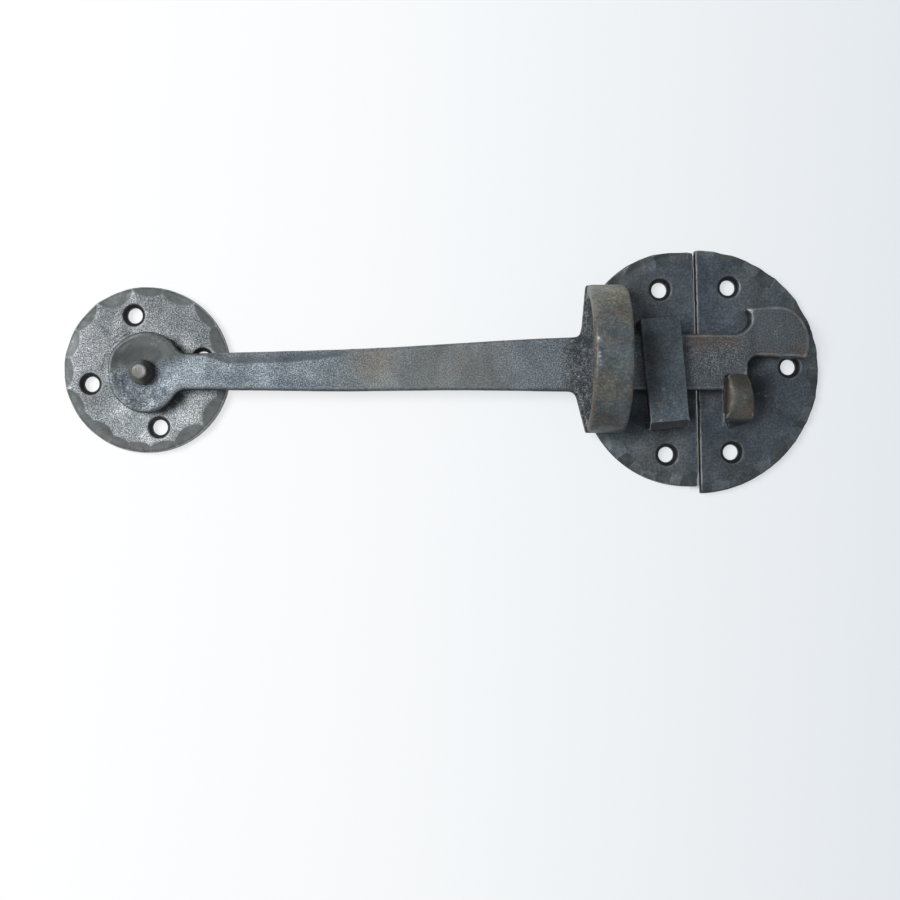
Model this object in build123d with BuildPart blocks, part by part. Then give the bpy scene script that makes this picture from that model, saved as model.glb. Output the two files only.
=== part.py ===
"""Forged iron cabinet latch: a pivoting arm with a pull loop, guided by a staple and caught by a curled hook.

The latch lies on its back. The origin is the middle of the pivot plate's screw circle on the back
plane, +X runs along the arm to the keeper, +Y is the side the arm lifts to, +Z points away from the
cabinet. The rivet sits a little below the origin.
All lengths are in millimetres.
"""

import os
from math import cos, radians, sin, sqrt

from build123d import *

os.makedirs("parts", exist_ok=True)

# places along the arm, all set out from the cross bar
tee_x = 135.8
staple_x = tee_x + 23.4
parting_x = tee_x + 34.8
nose_x = tee_x + 49.6
hook_x = nose_x - 6.2

# plates
plate_t = 3.2
pivot_plate_r = 25.8
pivot_plate_y = 0.5
guide_r = 36.6
guide_x = parting_x - 1.0
guide_y = 0.5
keeper_r = 37.8
keeper_x = parting_x + 0.2
keeper_y = -0.1
parting_gap = 0.6
parting_tilt = 1.45

# screw holes, for number 8 countersunk screws
screw_r = 2.4
sink_r = 3.6
sink_angle = 90.0
pivot_screw_circle_r = 17.8
pivot_screw_turn = 12.7
side_screw_circle_r = 27.0
side_screw_spread = 71.3
guide_screw_x = parting_x - 1.8
guide_screw_y = 0.1
guide_screw_turn = 182.4
keeper_screw_x = parting_x + 1.6
keeper_screw_y = 0.3
keeper_screw_turn = 1.1
keeper_side_turn = 2.2

# hammer marks round the rims: where each one lies round the disc, in degrees, and how far in it reaches
pivot_marks = (
    (3, 3.6),
    (21, 4.8),
    (42, 3.4),
    (67, 4.0),
    (88, 3.6),
    (113, 4.9),
    (140, 3.8),
    (161, 3.9),
    (181, 3.7),
    (206, 4.2),
    (220, 3.6),
    (233.5, 5.1),
    (249, 3.7),
    (264, 3.8),
    (282, 3.6),
    (303, 4.7),
    (328, 4.5),
    (345, 3.4),
)
guide_marks = (
    (101, 2.0),
    (115, 1.8),
    (129, 2.4),
    (143, 2.2),
    (159, 2.6),
    (175, 2.2),
    (190, 2.4),
    (204, 2.2),
    (218, 2.7),
    (229, 2.0),
    (238.5, 2.3),
    (250, 2.0),
    (264, 2.4),
)
keeper_marks = (
    (-82, 2.8),
    (-73, 2.3),
    (-64.5, 3.0),
    (-56, 2.9),
    (-48, 2.6),
    (-39, 2.4),
    (-28, 3.6),
    (-18, 2.6),
    (-7, 3.0),
    (5, 2.2),
    (18, 2.4),
    (31, 2.2),
    (44, 3.0),
    (56, 2.0),
    (65, 2.2),
    (77, 1.8),
)
mark_half_width = 6.4
mark_drop = 0.9
guide_lumps = (0.3, -0.95, 1.0, 0.0)
keeper_lumps = (0.0, 0.0, 0.0, 0.1)

# arm
arm_lift = 0.3
arm_t = 4.4
pivot_y = -0.6
eye_r = 12.5
eye_swell = (-0.2, 0.0, 0.4, 0.1, -0.6, -0.9, -1.6, -1.3, -0.7, 0.0, -0.1, -0.6)
neck_top = 5.3
neck_bottom = -5.95
neck_fillet = 4.5
bar_end_top = 10.35
bar_end_bottom = -6.5
arm_edge = 0.7
flat_w = 3.6
flat_depth = 1.1
arm_z = plate_t + arm_lift
arm_top = arm_z + arm_t

# cross bar and pull loop
tee_w = 11.7
tee_y = 3.5
tee_draft = 2.0
tee_low_draft = 5.6
tee_fillet = 2.6
loop_r = 22.7
loop_t = 4.0
loop_edge = 1.3
loop_axis_drop = 1.4
tee_end = sqrt(loop_r**2 - loop_axis_drop**2)

# tongue, nose and lift head
tongue_top = 11.3
tongue_bottom = -6.1
nose_bottom = -1.8
head_fillet = 2.9

# rivet
rivet_r = 3.0
rivet_clearance = 0.06
rivet_gap = 0.15
rivet_head_r = 3.85
rivet_facet_r = 2.0
rivet_rise = 4.1

# guide staple
staple_y = -0.95
staple_turn = 5.3
staple_len = 33.9
staple_w = 12.2
staple_t = 3.1
staple_leg_t = 2.6
staple_bend = 1.5
staple_dressed = 2.2
staple_head_room = 1.5

# keeper hook, lanced from the keeper plate and curled over
hook_w = 7.4
hook_flare = 1.6
hook_t = 3.6
hook_back = -15.8
hook_tip = -1.1
hook_head_room = 1.0
lance_gap = 0.2
window_end = 9.0
step_x = hook_x - 0.8


def hand_cut_r(rim_r, lumps, angle):
    """Radius of a hand-cut disc: an even circle plus slight two-lobed and three-lobed swells."""
    swell = lumps[0] * cos(2 * angle) + lumps[1] * sin(2 * angle)
    return rim_r + swell + lumps[2] * cos(3 * angle) + lumps[3] * sin(3 * angle)


def hand_cut_points(centre_x, centre_y, rim_r, lumps, count=24):
    """Points round a hand-cut disc, for a closed smooth curve."""
    points = []
    for step in range(round(count)):
        angle = radians(360.0 / count * step)
        radius = hand_cut_r(rim_r, lumps, angle)
        points.append((centre_x + radius * cos(angle), centre_y + radius * sin(angle)))
    return points


def rim_marks(centre_x, centre_y, disc_r, lumps, marks, half_width):
    """Ball cutters that leave one shallow hammer mark each on the top edge of a round plate."""
    balls = []
    for turn, reach in marks:
        angle = radians(turn)
        rim_r = hand_cut_r(disc_r, lumps, angle)
        drop = mark_drop * (0.4 + 0.6 * reach / 4)
        sag = reach - (rim_r - sqrt(rim_r**2 - half_width**2))
        circle_r = (half_width**2 + sag**2) / (2 * sag)
        out = circle_r - reach
        lift = (circle_r**2 - out**2 - drop**2) / (2 * drop)
        ball_r = sqrt(circle_r**2 + lift**2)
        ring = rim_r + out
        balls.append((centre_x + ring * cos(angle), centre_y + ring * sin(angle), plate_t + lift, ball_r))
    return balls


def screw_circle(centre_x, centre_y, turn, side_turn):
    """Centres of the three screw holes of a half plate, the middle one at its own turn."""
    places = []
    for hole_turn in (turn - side_screw_spread, side_turn, turn + side_screw_spread):
        angle = radians(hole_turn)
        places.append(
            (
                centre_x + side_screw_circle_r * cos(angle),
                centre_y + side_screw_circle_r * sin(angle),
                plate_t,
            )
        )
    return places


def eye_points():
    """Points round the hand-forged eye of the arm, every 30 degrees, for a closed smooth curve."""
    points = []
    for step, swell in enumerate(eye_swell):
        angle = radians(30.0 * step)
        points.append(((eye_r + swell) * cos(angle), pivot_y + (eye_r + swell) * sin(angle)))
    return points


# Round pivot plate: hammered rim, four countersunk screw holes and the rivet hole.
with BuildPart() as pivot_plate:
    with BuildSketch(Plane.XY):
        with Locations((0, pivot_plate_y)):
            Circle(pivot_plate_r)
    extrude(amount=plate_t)
    for mark_x, mark_y, mark_z, ball_r in rim_marks(
        0, pivot_plate_y, pivot_plate_r, (0, 0, 0, 0), pivot_marks, mark_half_width
    ):
        with Locations((mark_x, mark_y, mark_z)):
            Sphere(ball_r, mode=Mode.SUBTRACT)
    with Locations((0, 0, plate_t)):
        with PolarLocations(pivot_screw_circle_r, 4, start_angle=pivot_screw_turn):
            CounterSinkHole(screw_r, sink_r, counter_sink_angle=sink_angle)
    with Locations((0, pivot_y, plate_t)):
        Hole(rivet_r)
pivot_plate.part.label = "pivot_plate"
export_step(pivot_plate.part, "parts/pivot_plate.step")

# Rivet: shank tight in the plate, running in the eye, with a peened head over the eye.
head_seat = arm_top + rivet_gap
with BuildPart() as pivot_rivet:
    with BuildSketch(Plane.XZ.offset(-pivot_y)):
        with BuildLine():
            Polyline(
                (0, 0),
                (rivet_r, 0),
                (rivet_r, head_seat),
                (rivet_head_r, head_seat),
                (rivet_head_r, head_seat + rivet_rise * 0.38),
                (rivet_head_r - 0.25, head_seat + rivet_rise * 0.5),
                (rivet_facet_r, head_seat + rivet_rise),
                (0, head_seat + rivet_rise),
                close=True,
            )
        make_face()
    revolve(axis=Axis((0, pivot_y, 0), (0, 0, 1)))
pivot_rivet.part.label = "pivot_rivet"
export_step(pivot_rivet.part, "parts/pivot_rivet.step")

# Arm: one forging with the eye, the tapering bar, the cross bar, the tongue and the lift head.
with BuildPart() as latch_arm:
    with BuildSketch(Plane.XY.offset(arm_z)) as arm_outline:
        with BuildLine():
            Spline(*eye_points(), periodic=True)
        make_face()
        with BuildLine():
            Line((0, neck_bottom), (0, neck_top))
            Line((0, neck_top), (eye_r * 1.35, neck_top))
            Spline(
                (eye_r * 1.35, neck_top),
                (tee_x * 0.36, neck_top + 0.17 * (bar_end_top - neck_top)),
                (tee_x * 0.54, neck_top + 0.34 * (bar_end_top - neck_top)),
                (tee_x * 0.72, neck_top + 0.63 * (bar_end_top - neck_top)),
                (tee_x + 1, bar_end_top),
            )
            Line((tee_x + 1, bar_end_top), (tee_x + 1, bar_end_bottom))
            Spline(
                (tee_x + 1, bar_end_bottom),
                (tee_x * 0.90, bar_end_bottom + 0.2),
                (tee_x * 0.70, neck_bottom - 0.05),
                (tee_x * 0.45, neck_bottom - 0.38),
                (tee_x * 0.24, neck_bottom - 0.08),
                (eye_r * 1.35, neck_bottom),
            )
            Line((eye_r * 1.35, neck_bottom), (0, neck_bottom))
        make_face()
        eye_corners = arm_outline.vertices().filter_by_position(Axis.X, eye_r * 0.6, eye_r * 1.05)
        fillet(eye_corners, neck_fillet)
        with BuildLine():
            Polyline(
                (tee_x, tee_y + tee_end),
                (tee_x + tee_w, tee_y + tee_end),
                (tee_x + tee_w, tee_y - tee_end),
                (tee_x, tee_y - tee_end),
                (tee_x - tee_low_draft, tee_y - 1),
                (tee_x - tee_draft, tee_y + 1),
                close=True,
            )
        make_face()
        tee_corners = arm_outline.vertices().filter_by_position(
            Axis.X, tee_x - tee_low_draft - 0.1, tee_x - 0.1
        )
        fillet(tee_corners, tee_fillet)
        with BuildLine():
            Polyline(
                (nose_x, nose_bottom),
                (step_x, nose_bottom),
                (step_x, tongue_bottom),
                (tee_x + tee_w - 1, tongue_bottom),
                (tee_x + tee_w - 1, tongue_top),
                (nose_x - 7.0, tongue_top),
            )
            Spline(
                (nose_x - 7.0, tongue_top),
                (nose_x - 3.2, tongue_top + 0.1),
                (nose_x - 0.7, tongue_top + 1.6),
                (nose_x + 0.6, tongue_top + 4.2),
                (nose_x + 0.3, tongue_top + 6.2),
                (nose_x - 0.5, tongue_top + 7.6),
                tangents=[(1, 0), (-0.5, 1)],
            )
            Spline(
                (nose_x - 0.5, tongue_top + 7.6),
                (nose_x + 5.8, tongue_top + 8.4),
                (nose_x + 10.7, tongue_top + 8.3),
                (nose_x + 14.1, tongue_top + 6.9),
                (nose_x + 16.9, tongue_top + 4.0),
                (nose_x + 18.5, tongue_top + 0.3),
                (nose_x + 18.8, tongue_top - 3.5),
                (nose_x + 18.3, tongue_top - 6.3),
                tangents=[(1, 0.35), (-0.3, -1)],
            )
            Polyline(
                (nose_x + 18.3, tongue_top - 6.3),
                (nose_x + 17.91, tongue_top - 7.6),
                (nose_x, tongue_top - 6.9),
                (nose_x, nose_bottom),
            )
        make_face()
        nose_corners = arm_outline.vertices().filter_by_position(
            Axis.X, step_x - 0.1, nose_x + 0.1
        ).filter_by_position(Axis.Y, tongue_bottom - 0.1, nose_bottom + 0.1)
        fillet(nose_corners, 0.9)
        head_corner = arm_outline.vertices().filter_by_position(
            Axis.Y, tongue_top - 7.7, tongue_top - 7.5
        )
        fillet(head_corner, 1.4)
        nose_top = arm_outline.vertices().filter_by_position(
            Axis.Y, tongue_top - 7.0, tongue_top - 6.8
        )
        fillet(nose_top, head_fillet)
    extrude(amount=arm_t)
    chamfer(latch_arm.faces().sort_by(Axis.Z)[-1].outer_wire().edges(), arm_edge)
    # Long flat hammered along the upper edge of the bar, deepest near the eye and fading out.
    for flat_x, flat_reach, flat_drop in (
        (eye_r * 1.45, 0.6, 0.25),
        (eye_r * 2.1, flat_w, flat_depth),
        (eye_r * 3.8, flat_w, flat_depth),
        (tee_x * 0.56, 0.8, 0.3),
    ):
        edge_y = neck_top + 0.34 * (bar_end_top - neck_top) * max(0.0, flat_x / tee_x - 0.14) / 0.40
        with BuildSketch(Plane.YZ.offset(flat_x)):
            with BuildLine():
                Polyline(
                    (edge_y + 1.5, arm_top - flat_drop * (1 + 1.5 / flat_reach)),
                    (edge_y + 1.5, arm_top + 0.5),
                    (edge_y - flat_reach - 0.5 * flat_reach / flat_drop, arm_top + 0.5),
                    close=True,
                )
            make_face()
    loft(ruled=True, mode=Mode.SUBTRACT)
    with Locations((0, pivot_y, arm_top)):
        Hole(rivet_r + rivet_clearance)
latch_arm.part.label = "latch_arm"
export_step(latch_arm.part, "parts/latch_arm.step")

# Pull loop: a bent strap whose two feet are welded to the ends of the cross bar.
with BuildPart() as pull_loop:
    with BuildSketch(Plane.YZ.offset(tee_x)) as loop_side:
        with Locations((tee_y, arm_top - loop_axis_drop)):
            Circle(loop_r)
            Circle(loop_r - loop_t, mode=Mode.SUBTRACT)
        with Locations((tee_y, arm_top - loop_r)):
            Rectangle(3 * loop_r, 2 * loop_r, mode=Mode.SUBTRACT)
    extrude(amount=tee_w)
    round_edges = pull_loop.edges().filter_by(GeomType.CIRCLE)
    fillet(round_edges, loop_edge)
pull_loop.part.label = "pull_loop"
export_step(pull_loop.part, "parts/pull_loop.step")

# Guide plate: the left half of the drilled disc, under the staple.
with BuildPart() as guide_plate:
    with BuildSketch(Plane.XY):
        with BuildLine():
            Spline(*hand_cut_points(guide_x, guide_y, guide_r, guide_lumps), periodic=True)
        make_face()
        with Locations(Location((parting_x - parting_gap / 2 + 2 * guide_r, 0), parting_tilt)):
            Rectangle(4 * guide_r, 4 * guide_r, mode=Mode.SUBTRACT)
    extrude(amount=plate_t)
    for mark_x, mark_y, mark_z, ball_r in rim_marks(
        guide_x, guide_y, guide_r, guide_lumps, guide_marks, 0.7 * mark_half_width
    ):
        if mark_x < parting_x - 3:
            with Locations((mark_x, mark_y, mark_z)):
                Sphere(ball_r, mode=Mode.SUBTRACT)
    with Locations(*screw_circle(guide_screw_x, guide_screw_y, guide_screw_turn, guide_screw_turn)):
        CounterSinkHole(screw_r, sink_r, counter_sink_angle=sink_angle)
guide_plate.part.label = "guide_plate"
export_step(guide_plate.part, "parts/guide_plate.step")

# Guide staple: a strap bent square over the tongue, its feet welded to the guide plate.
staple_under = arm_top + staple_head_room
staple_top = staple_under + staple_t
staple_angle = radians(staple_turn)
staple_plane = Plane(
    origin=(staple_x, staple_y, 0),
    x_dir=(-sin(staple_angle), cos(staple_angle), 0),
    z_dir=(cos(staple_angle), sin(staple_angle), 0),
)
with BuildPart() as guide_staple:
    with BuildSketch(staple_plane) as staple_side:
        with Locations((0, (plate_t + staple_top) / 2)):
            Rectangle(staple_len, staple_top - plate_t)
        upper_corner = staple_side.vertices().group_by(Axis.Y)[-1].sort_by(Axis.X)[-1]
        fillet(upper_corner, staple_bend)
        lower_corner = staple_side.vertices().group_by(Axis.Y)[-1].sort_by(Axis.X)[0]
        chamfer(lower_corner, staple_dressed)
        with Locations((0, (plate_t + staple_under) / 2 - 1)):
            Rectangle(staple_len - 2 * staple_leg_t, staple_under - plate_t + 2, mode=Mode.SUBTRACT)
        inner_corners = staple_side.vertices().filter_by_position(
            Axis.Y, staple_under - 0.01, staple_under + 0.01
        )
        fillet(inner_corners, 0.6)
    extrude(amount=staple_w / 2, both=True)
    long_edges = guide_staple.faces().sort_by(Axis.Z)[-1].edges().sort_by(SortBy.LENGTH)[-2:]
    chamfer(long_edges, 0.4)
guide_staple.part.label = "guide_staple"
export_step(guide_staple.part, "parts/guide_staple.step")

# Hook strip: C-shaped side view, cut to its crowned end view and its plan outline. It is later joined
# to the keeper plate.
hook_under = arm_top + hook_head_room
hook_top = hook_under + hook_t
with BuildPart() as hook_strip:
    with BuildSketch(Plane.YZ.offset(hook_x - hook_flare)) as hook_side:
        with BuildLine():
            Line((hook_back + 0.5, plate_t / 2), (hook_back + 0.4, plate_t))
            Spline(
                (hook_back + 0.4, plate_t),
                (hook_back, plate_t + 0.34 * (hook_top - plate_t)),
                (hook_back + 0.5, plate_t + 0.64 * (hook_top - plate_t)),
                (hook_back + 2.2, plate_t + 0.88 * (hook_top - plate_t)),
                (hook_back + 5.2, hook_top - 0.1),
                (hook_back + 8.6, hook_top),
                (hook_tip - 2.4, hook_top - 0.7),
                (hook_tip, hook_top - 1.6),
                tangents=[(-0.15, 1), (1, -0.45)],
            )
            Line((hook_tip, hook_top - 1.6), (hook_tip - 0.3, hook_under + 0.05))
            Spline(
                (hook_tip - 0.3, hook_under + 0.05),
                (hook_tip - 2.8, hook_under + 0.35),
                (hook_back + 8.4, hook_under + 0.3),
                (hook_back + 5.4, hook_under - 0.5),
                (hook_back + 3.5, hook_under - 2.3),
                (hook_back + 3.0, plate_t + 1.6),
                (hook_back + 2.9, plate_t),
                tangents=[(-1, 0.3), (0, -1)],
            )
            Line((hook_back + 2.9, plate_t), (hook_back + 2.9, plate_t / 2))
            Line((hook_back + 2.9, plate_t / 2), (hook_back + 0.5, plate_t / 2))
        make_face()
    extrude(amount=hook_w + hook_flare)
    with BuildSketch(Plane.XZ.offset(-hook_back + 3)) as hook_end:
        with BuildLine():
            Polyline(
                (hook_x + hook_w, hook_top - 2.5),
                (hook_x + hook_w, 0),
                (hook_x, 0),
                (hook_x, arm_top + 0.4),
                (hook_x - hook_flare, arm_top + 1.5),
            )
            Spline(
                (hook_x - hook_flare, arm_top + 1.5),
                (hook_x - hook_flare * 0.75, hook_top - 1.6),
                (hook_x - 0.1, hook_top - 0.6),
                (hook_x + 0.2 * hook_w, hook_top - 0.08),
                (hook_x + 0.5 * hook_w, hook_top),
                (hook_x + 0.8 * hook_w, hook_top - 0.5),
                (hook_x + 0.95 * hook_w, hook_top - 1.4),
                (hook_x + hook_w, hook_top - 2.5),
            )
        make_face()
    extrude(amount=2 * hook_back - 6, mode=Mode.INTERSECT)
    with BuildSketch(Plane.XY) as hook_plan:
        with BuildLine():
            Polyline(
                (hook_x + hook_w, hook_back + 4.0),
                (hook_x + hook_w, hook_back - 1.0),
                (hook_x - hook_flare, hook_back - 1.0),
                (hook_x - hook_flare, hook_tip - 3.0),
                (hook_x - hook_flare + 0.7, hook_tip - 0.4),
                (hook_x - hook_flare + 1.5, hook_tip),
                (hook_x + 0.66 * hook_w, hook_tip),
            )
            Spline(
                (hook_x + 0.66 * hook_w, hook_tip),
                (hook_x + 0.80 * hook_w, hook_tip - 2.4),
                (hook_x + 0.95 * hook_w, hook_tip - 6.4),
                (hook_x + hook_w, hook_back + 4.0),
            )
        make_face()
    extrude(amount=2 * hook_top, mode=Mode.INTERSECT)

# Keeper plate: the right half of the disc, with the lanced window, the hook and the root swell.
with BuildPart() as keeper_plate:
    with BuildSketch(Plane.XY):
        with BuildLine():
            Spline(*hand_cut_points(keeper_x, keeper_y, keeper_r, keeper_lumps), periodic=True)
        make_face()
        with Locations(Location((parting_x + parting_gap / 2 - 2 * keeper_r, 0), parting_tilt)):
            Rectangle(4 * keeper_r, 4 * keeper_r, mode=Mode.SUBTRACT)
    extrude(amount=plate_t)
    for mark_x, mark_y, mark_z, ball_r in rim_marks(
        keeper_x, keeper_y, keeper_r, keeper_lumps, keeper_marks, 0.65 * mark_half_width
    ):
        if mark_x > parting_x + 3:
            with Locations((mark_x, mark_y, mark_z)):
                Sphere(ball_r, mode=Mode.SUBTRACT)
    with Locations(*screw_circle(keeper_screw_x, keeper_screw_y, keeper_screw_turn, keeper_side_turn)):
        CounterSinkHole(screw_r, sink_r, counter_sink_angle=sink_angle)
    with BuildSketch(Plane.XY) as window:
        with BuildLine():
            Polyline(
                (hook_x - lance_gap, window_end),
                (hook_x - lance_gap, hook_back - 0.6),
                (hook_x + 0.9, hook_back - 2.8),
                (hook_x + 1.3, hook_back - 2.4),
                (hook_x, hook_back - 0.4),
                (hook_x, hook_back + 2.9),
                (hook_x + hook_w, hook_back + 2.9),
                (hook_x + hook_w, hook_back + 0.6),
                (hook_x + hook_w + 0.6, hook_back + 0.6),
                (hook_x + hook_w + 0.6, hook_back + 3.6),
                (hook_x + hook_w - 0.4, hook_back + 7.0),
                (hook_x + 0.8 * hook_w, window_end),
                close=True,
            )
        make_face()
    extrude(amount=plate_t, mode=Mode.SUBTRACT)
    add(hook_strip.part)
    with BuildSketch(Plane.XY.offset(plate_t - 0.4)):
        with BuildLine():
            Polyline(
                (hook_x + 0.1, hook_back + 0.6),
                (hook_x + 1.3, hook_back - 2.5),
                (hook_x + hook_w, hook_back + 0.2),
                (hook_x + hook_w, hook_back + 0.8),
                close=True,
            )
        make_face()
    with BuildSketch(Plane.XY.offset(plate_t + 2.6)):
        with BuildLine():
            Polyline(
                (hook_x + 0.1, hook_back + 0.6),
                (hook_x + 0.5, hook_back - 0.1),
                (hook_x + hook_w - 0.1, hook_back + 0.05),
                (hook_x + hook_w - 0.1, hook_back + 0.6),
                close=True,
            )
        make_face()
    loft(ruled=True)
keeper_plate.part.label = "keeper_plate"
export_step(keeper_plate.part, "parts/keeper_plate.step")
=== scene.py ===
"""Forged iron cabinet latch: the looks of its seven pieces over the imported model. Lengths are in metres."""
import math

import bmesh
import bpy
import numpy as np
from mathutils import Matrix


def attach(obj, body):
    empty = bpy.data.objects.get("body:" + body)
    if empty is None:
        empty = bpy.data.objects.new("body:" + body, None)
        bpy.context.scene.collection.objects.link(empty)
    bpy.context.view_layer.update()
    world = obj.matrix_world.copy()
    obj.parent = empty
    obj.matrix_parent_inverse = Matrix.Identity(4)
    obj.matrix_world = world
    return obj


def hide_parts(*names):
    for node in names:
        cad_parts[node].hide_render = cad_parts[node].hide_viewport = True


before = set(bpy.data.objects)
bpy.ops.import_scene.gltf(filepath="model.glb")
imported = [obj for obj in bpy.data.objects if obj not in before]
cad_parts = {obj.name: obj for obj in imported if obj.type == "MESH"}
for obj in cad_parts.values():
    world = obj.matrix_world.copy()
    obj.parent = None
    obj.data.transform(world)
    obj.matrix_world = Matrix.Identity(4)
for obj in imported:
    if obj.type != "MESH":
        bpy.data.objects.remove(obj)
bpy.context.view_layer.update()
scene = bpy.context.scene
scene.view_settings.view_transform = "Standard"

mm = 0.001
plate_top = 3.2 * mm
arm_top = 7.9 * mm
plate_cell = 0.27 * mm
rivet_axis = (0, -0.6)


# Camera, floor and light

def photo_camera():
    """A camera straight above the latch, 369 mm over the table, which sees 281 mm of it from edge to edge."""
    lens = bpy.data.cameras.new("overhead_camera")
    lens.sensor_width = 36
    lens.lens = 47.2
    lens.clip_start = 0.01
    camera = bpy.data.objects.new("overhead_camera", lens)
    camera.location = (0.09406, -0.02438, 0.36875)
    scene.collection.objects.link(camera)
    scene.camera = camera


def soft_lamp(name, place, aim, size, watts, colour):
    """A square lamp of side `size` at `place`, turned to shine on `aim`."""
    light = bpy.data.lights.new(name, "AREA")
    light.shape = "SQUARE"
    light.size = size
    light.energy = watts
    light.color = colour
    lamp = bpy.data.objects.new(name, light)
    place = np.array(place)
    way = np.array(aim) - place
    way = way / np.linalg.norm(way)
    tilt = math.acos(-way[2])
    turn = math.atan2(way[1], way[0]) - math.pi / 2
    lamp.location = place
    lamp.rotation_euler = (tilt, 0, turn)
    scene.collection.objects.link(lamp)


def pale_table():
    """A flat square of 3 m just under the plates' backs, painted white to cool white along X as a painted
    fall-off of the lamp's light.
    """
    reach = 1.5
    height = -0.05 * mm
    corners = np.array([[-1, -1], [1, -1], [1, 1], [-1, 1]]) * reach
    mesh = bpy.data.meshes.new("pale_table")
    mesh.from_pydata([(x, y, height) for x, y in corners], [], [(0, 1, 2, 3)])
    table = bpy.data.objects.new("pale_table", mesh)
    scene.collection.objects.link(table)
    table.data.materials.append(table_paint())


def seen_rays(tree):
    """1 for rays from the camera, and for those by which metal or glass shows what is round it."""
    path = tree.nodes.new("ShaderNodeLightPath")
    mirrored = sum_node(tree, "MAXIMUM", path.outputs["Is Glossy Ray"], path.outputs["Is Transmission Ray"])
    return sum_node(tree, "MAXIMUM", path.outputs["Is Camera Ray"], mirrored)


def open_share(tree, across, along, middle, half, fade, least):
    """How freely light comes through the table: `least` under an opening in the plates, 1 clear of it.

    The opening is the rectangle of `half` sizes round `middle`, and its sides fade over `fade`.
    """
    clear = []
    for value, centre, reach in zip((across, along), middle, half):
        apart = sum_node(tree, "ABSOLUTE", sum_node(tree, "SUBTRACT", value, centre))
        clear.append(stretch(tree, apart, reach, reach + fade, least, 1.0))
    return sum_node(tree, "MAXIMUM", *clear)


def table_paint():
    """Plain matt paint, whiter on the lamp's side as a painted fall-off of the lamp's light. The camera sees
    most of it as backlit paper.

    So its shadows are pale. Far out it turns wholly into the background's white. Where the plates close it
    in, there is less backlight: none under the hook's window, and a third of it under the saw cut.
    """
    lamp_white = (0.99, 0.99, 1, 1)
    middle_white = (0.92, 0.94, 0.96, 1)
    cool_white = (0.79, 0.83, 0.865, 1)
    background = (0.95, 0.97, 1.0)
    far_starts, far_ends = 0.3, 0.9

    paint = bpy.data.materials.new("table_paint")
    paint.use_nodes = True
    tree = paint.node_tree
    shader = tree.nodes["Principled BSDF"]
    shader.inputs["Roughness"].default_value = 0.9
    shader.inputs["Specular IOR Level"].default_value = 0.1
    where = tree.nodes.new("ShaderNodeTexCoord").outputs["Object"]
    split = tree.nodes.new("ShaderNodeSeparateXYZ")
    tree.links.new(where, split.inputs[0])
    across, along = split.outputs["X"], split.outputs["Y"]

    # Painted light: the paint runs from white on the lamp's side to cool white away from it.
    spread = tree.nodes.new("ShaderNodeMapRange")
    spread.inputs["From Min"].default_value = -0.06
    spread.inputs["From Max"].default_value = 0.235
    tree.links.new(across, spread.inputs["Value"])
    ramp = tree.nodes.new("ShaderNodeValToRGB")
    ramp.color_ramp.elements[0].color = lamp_white
    ramp.color_ramp.elements[1].color = cool_white
    ramp.color_ramp.elements.new(0.5).color = middle_white
    tree.links.new(spread.outputs["Result"], ramp.inputs["Fac"])

    distance = tree.nodes.new("ShaderNodeVectorMath")
    distance.operation = "LENGTH"
    tree.links.new(where, distance.inputs[0])
    far = stretch(tree, distance.outputs["Value"], far_starts, far_ends)
    paper = blended(tree, far, ramp.outputs["Color"], background)
    backlit = tree.nodes.new("ShaderNodeEmission")
    tree.links.new(paper, shader.inputs["Base Color"])
    tree.links.new(paper, backlit.inputs["Color"])

    lit_share = stretch(tree, distance.outputs["Value"], far_starts, far_ends, 0.75, 1.0)
    window = open_share(tree, across, along, (0.183, -0.0036), (4.5 * mm, 12.8 * mm), 0.8 * mm, 0.0)
    saw_cut = open_share(tree, across, along, (0.1708, 0.0), (1.6 * mm, 37.4 * mm), 0.4 * mm, 0.35)
    both = tree.nodes.new("ShaderNodeMixShader")
    tree.links.new(product(tree, seen_rays(tree), lit_share, window, saw_cut), both.inputs[0])
    tree.links.new(shader.outputs[0], both.inputs[1])
    tree.links.new(backlit.outputs[0], both.inputs[2])
    tree.links.new(both.outputs[0], tree.nodes["Material Output"].inputs["Surface"])
    return paint


def studio_air():
    """An even pale light from all round. The camera, mirrors and glass see it as white."""
    world = bpy.data.worlds.new("studio_air")
    scene.world = world
    world.use_nodes = True
    tree = world.node_tree
    tree.nodes.clear()
    out = tree.nodes.new("ShaderNodeOutputWorld")
    room = tree.nodes.new("ShaderNodeBackground")
    room.inputs["Color"].default_value = (0.92, 0.97, 1, 1)
    room.inputs["Strength"].default_value = 0.22
    paper = tree.nodes.new("ShaderNodeBackground")
    paper.inputs["Color"].default_value = (0.95, 0.97, 1, 1)
    paper.inputs["Strength"].default_value = 1
    pick = tree.nodes.new("ShaderNodeMixShader")
    tree.links.new(seen_rays(tree), pick.inputs[0])
    tree.links.new(room.outputs[0], pick.inputs[1])
    tree.links.new(paper.outputs[0], pick.inputs[2])
    tree.links.new(pick.outputs[0], out.inputs[0])


# Surface sums: all of them work on whole arrays of points

def lattice_noise(points, size, seed):
    """Values from -1 to 1 that change smoothly over `size`.

    Random numbers stand at the corners of a cubic lattice, and each point takes the mean of its cell's eight
    corners, weighted along each axis by t*t*(3 - 2*t), where t is how far the point is across the cell.
    """
    slots = 8192
    hash_steps = np.array([73856093, 19349663, 83492791])
    table = np.random.default_rng(seed).uniform(-1, 1, slots)
    cell = points / size
    base = np.floor(cell).astype(np.int64)
    across = cell - base
    across = across * across * (3 - 2 * across)
    total = np.zeros(len(points))
    for corner in range(8):
        step = np.array([corner & 1, (corner >> 1) & 1, (corner >> 2) & 1])
        key = ((base + step) @ hash_steps) & (slots - 1)
        weight = np.prod(np.where(step, across, 1 - across), axis=1)
        total += table[key] * weight
    return total


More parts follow.
